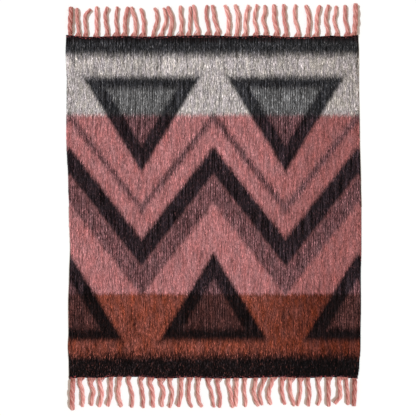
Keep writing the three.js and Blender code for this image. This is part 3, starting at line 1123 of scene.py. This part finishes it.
# The dense beaten-up edge that holds the locks
def makeDenseEdge(name, end, material):
    bm = bmesh.new()
    made = bmesh.ops.create_grid(bm, x_segments=denseEdge["cells"], y_segments=denseEdge["lanes"], size=0.5)
    verts = made["verts"]
    random = np.random.default_rng(denseEdge["headSeed"] if end > 0 else denseEdge["footSeed"])
    row = selvedgeRows[-1] if end > 0 else selvedgeRows[0]
    left, right = row["left"] * mm, row["right"] * mm
    x = left + (np.array([vert.co.x for vert in verts]) + 0.5) * (right - left)
    lane = np.array([vert.co.y for vert in verts]) + 0.5
    ends = np.full(len(verts), float(end))
    further = denseEdge["headOut"] if end > 0 else denseEdge["footOut"]
    depth = cloth["edgeWidth"] + denseEdge["overlap"] + further
    frayed = random.normal(0, denseEdge["frayed"], len(verts)) * lane
    rim = halfGround + endOut(x, ends) + further + frayed
    y = rim - depth * (1 - lane)
    crown = np.sqrt(np.clip(1 - (2 * lane - 1) ** 4, 0, 1))
    fullness = denseEdge["rimHeight"] + (1 - denseEdge["rimHeight"]) * crown
    z = cloth["edgeThickness"] * fullness * random.uniform(*denseEdge["lump"], len(verts))
    for vert, place in zip(verts, zip(x, y * end, z)):
        vert.co = place
    walls = bmesh.ops.extrude_edge_only(bm, edges=[edge for edge in bm.edges if edge.is_boundary])
    for item in walls["geom"]:
        if isinstance(item, bmesh.types.BMVert):
            item.co.z = 0
    bmesh.ops.holes_fill(bm, edges=[edge for edge in bm.edges if edge.is_boundary], sides=0)
    bmesh.ops.recalc_face_normals(bm, faces=bm.faces[:])
    piece = pieceFrom(bm, name)
    piece.data.materials.append(material)
    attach(piece, bodyName)
    return smoothShaded(piece)


def makeEdgeMaterial():
    material, tree, shader = newMaterial("denseEdge", roughness=0.95, sheen=0.02)
    place = addNode(tree, "ShaderNodeTexCoord", {}).outputs["Object"]
    isWarp = ramp(tree, noiseOf(tree, place, denseEdge["warpPitch"], 2.0), *denseEdge["warpLimits"])
    isMauve = ramp(tree, noiseOf(tree, place, denseEdge["mauvePitch"], 2.0), *denseEdge["mauveLimits"])
    dark = mixed(tree, isMauve, linear(denseEdge["dark"]), linear(denseEdge["mauve"]))
    feed(tree, shader.inputs["Base Color"], mixed(tree, isWarp, dark, linear(denseEdge["warpEnds"])))
    addRelief(tree, shader, noiseOf(tree, place, denseEdge["grainPitch"], 2.0), denseEdge["relief"])
    return material


edgeMaterial = makeEdgeMaterial()
headEdge = makeDenseEdge("headEdge", 1, edgeMaterial)
footEdge = makeDenseEdge("footEdge", -1, edgeMaterial)
print("dense edges made")

studio = {
    "floorSize": 14.0,
    "floorDrop": 0.6 * mm,
    "floorColour": (0.93, 0.93, 0.925, 1),
    "photoPixels": 416,
    "pixelSize": 4.437 * mm,
    "lens": 100.0,
    "sensor": 36.0,
    "aimX": -24.4 * mm,
    "aimY": -5.3 * mm,
    "ambient": 0.57,
    "ambientColour": (1.0, 0.84, 0.71, 1),
    "skyColour": (1, 1, 1, 1),
    "keyLight": 0.69,
    "keyColour": (0.79, 0.92, 1.0),
    "keyElevation": 45.0,
    "keyTurn": 33.0,
    "keyAngle": 4.0,
}


# The floor is in two halves, so that each can have the lamp of its own end
def makeFloorHalf(name, end):
    size = studio["floorSize"]
    bm = bmesh.new()
    bmesh.ops.create_grid(bm, x_segments=1, y_segments=1, size=size / 2)
    bmesh.ops.scale(bm, vec=(1, 0.5, 1), verts=bm.verts[:])
    bmesh.ops.translate(bm, vec=(0, end * size / 4, -studio["floorDrop"]), verts=bm.verts[:])
    floor = pieceFrom(bm, name)
    material, _, shader = newMaterial(name, roughness=0.9, sheen=0.0)
    shader.inputs["Base Color"].default_value = studio["floorColour"]
    floor.data.materials.append(material)
    return floor


# A far lamp for the pieces it is given, so that the locks of both ends cast their shadows inwards alike
def makeKey(name, turn, lit):
    elevation, azimuth = math.radians(studio["keyElevation"]), math.radians(turn)
    light = bpy.data.lights.new(name, "SUN")
    light.energy = studio["keyLight"] * math.pi / math.sin(elevation)
    light.color = studio["keyColour"]
    light.angle = math.radians(studio["keyAngle"])
    level = math.cos(elevation)
    way = Vector((math.cos(azimuth) * level, math.sin(azimuth) * level, -math.sin(elevation)))
    holder = bpy.data.objects.new(name, light)
    holder.rotation_euler = way.to_track_quat("-Z", "Y").to_euler()
    bpy.context.scene.collection.objects.link(holder)
    receivers = bpy.data.collections.new(name)
    for piece in lit:
        receivers.objects.link(piece)
    holder.light_linking.receiver_collection = receivers


# Warm light from all round, with a plain white backdrop behind the floor
def makeWorld():
    world = bpy.data.worlds.new("studio")
    bpy.context.scene.world = world
    world.use_nodes = True
    tree = world.node_tree
    glow = tree.nodes["Background"]
    glow.inputs["Color"].default_value = studio["ambientColour"]
    glow.inputs["Strength"].default_value = studio["ambient"]
    backdrop = addNode(tree, "ShaderNodeBackground", {}, Color=studio["skyColour"], Strength=1.0)
    isSeen = tree.nodes.new("ShaderNodeLightPath").outputs["Is Camera Ray"]
    choice = addNode(tree, "ShaderNodeMixShader", {}, Fac=isSeen)
    feed(tree, choice.inputs[1], glow.outputs[0])
    feed(tree, choice.inputs[2], backdrop.outputs[0])
    feed(tree, tree.nodes["World Output"].inputs["Surface"], choice.outputs[0])


# Straight above, far enough away to show the throw at the photo's scale
def makeCamera():
    data = bpy.data.cameras.new("overhead")
    data.lens = studio["lens"]
    data.sensor_width = studio["sensor"]
    camera = bpy.data.objects.new("overhead", data)
    frameWidth = studio["photoPixels"] * studio["pixelSize"]
    distance = frameWidth * studio["lens"] / studio["sensor"]
    camera.location = (studio["aimX"], studio["aimY"], distance + cloth["thickness"])
    bpy.context.scene.collection.objects.link(camera)
    bpy.context.scene.camera = camera


floorHead = makeFloorHalf("floorHead", 1)
floorFoot = makeFloorHalf("floorFoot", -1)
makeKey("headKey", -studio["keyTurn"], [floorHead, headLocks, headEdge, ground, *napPieces])
makeKey("footKey", 180 - studio["keyTurn"], [floorFoot, footLocks, footEdge])
makeWorld()
makeCamera()
bpy.context.scene.view_settings.view_transform = "Standard"
print("studio made")
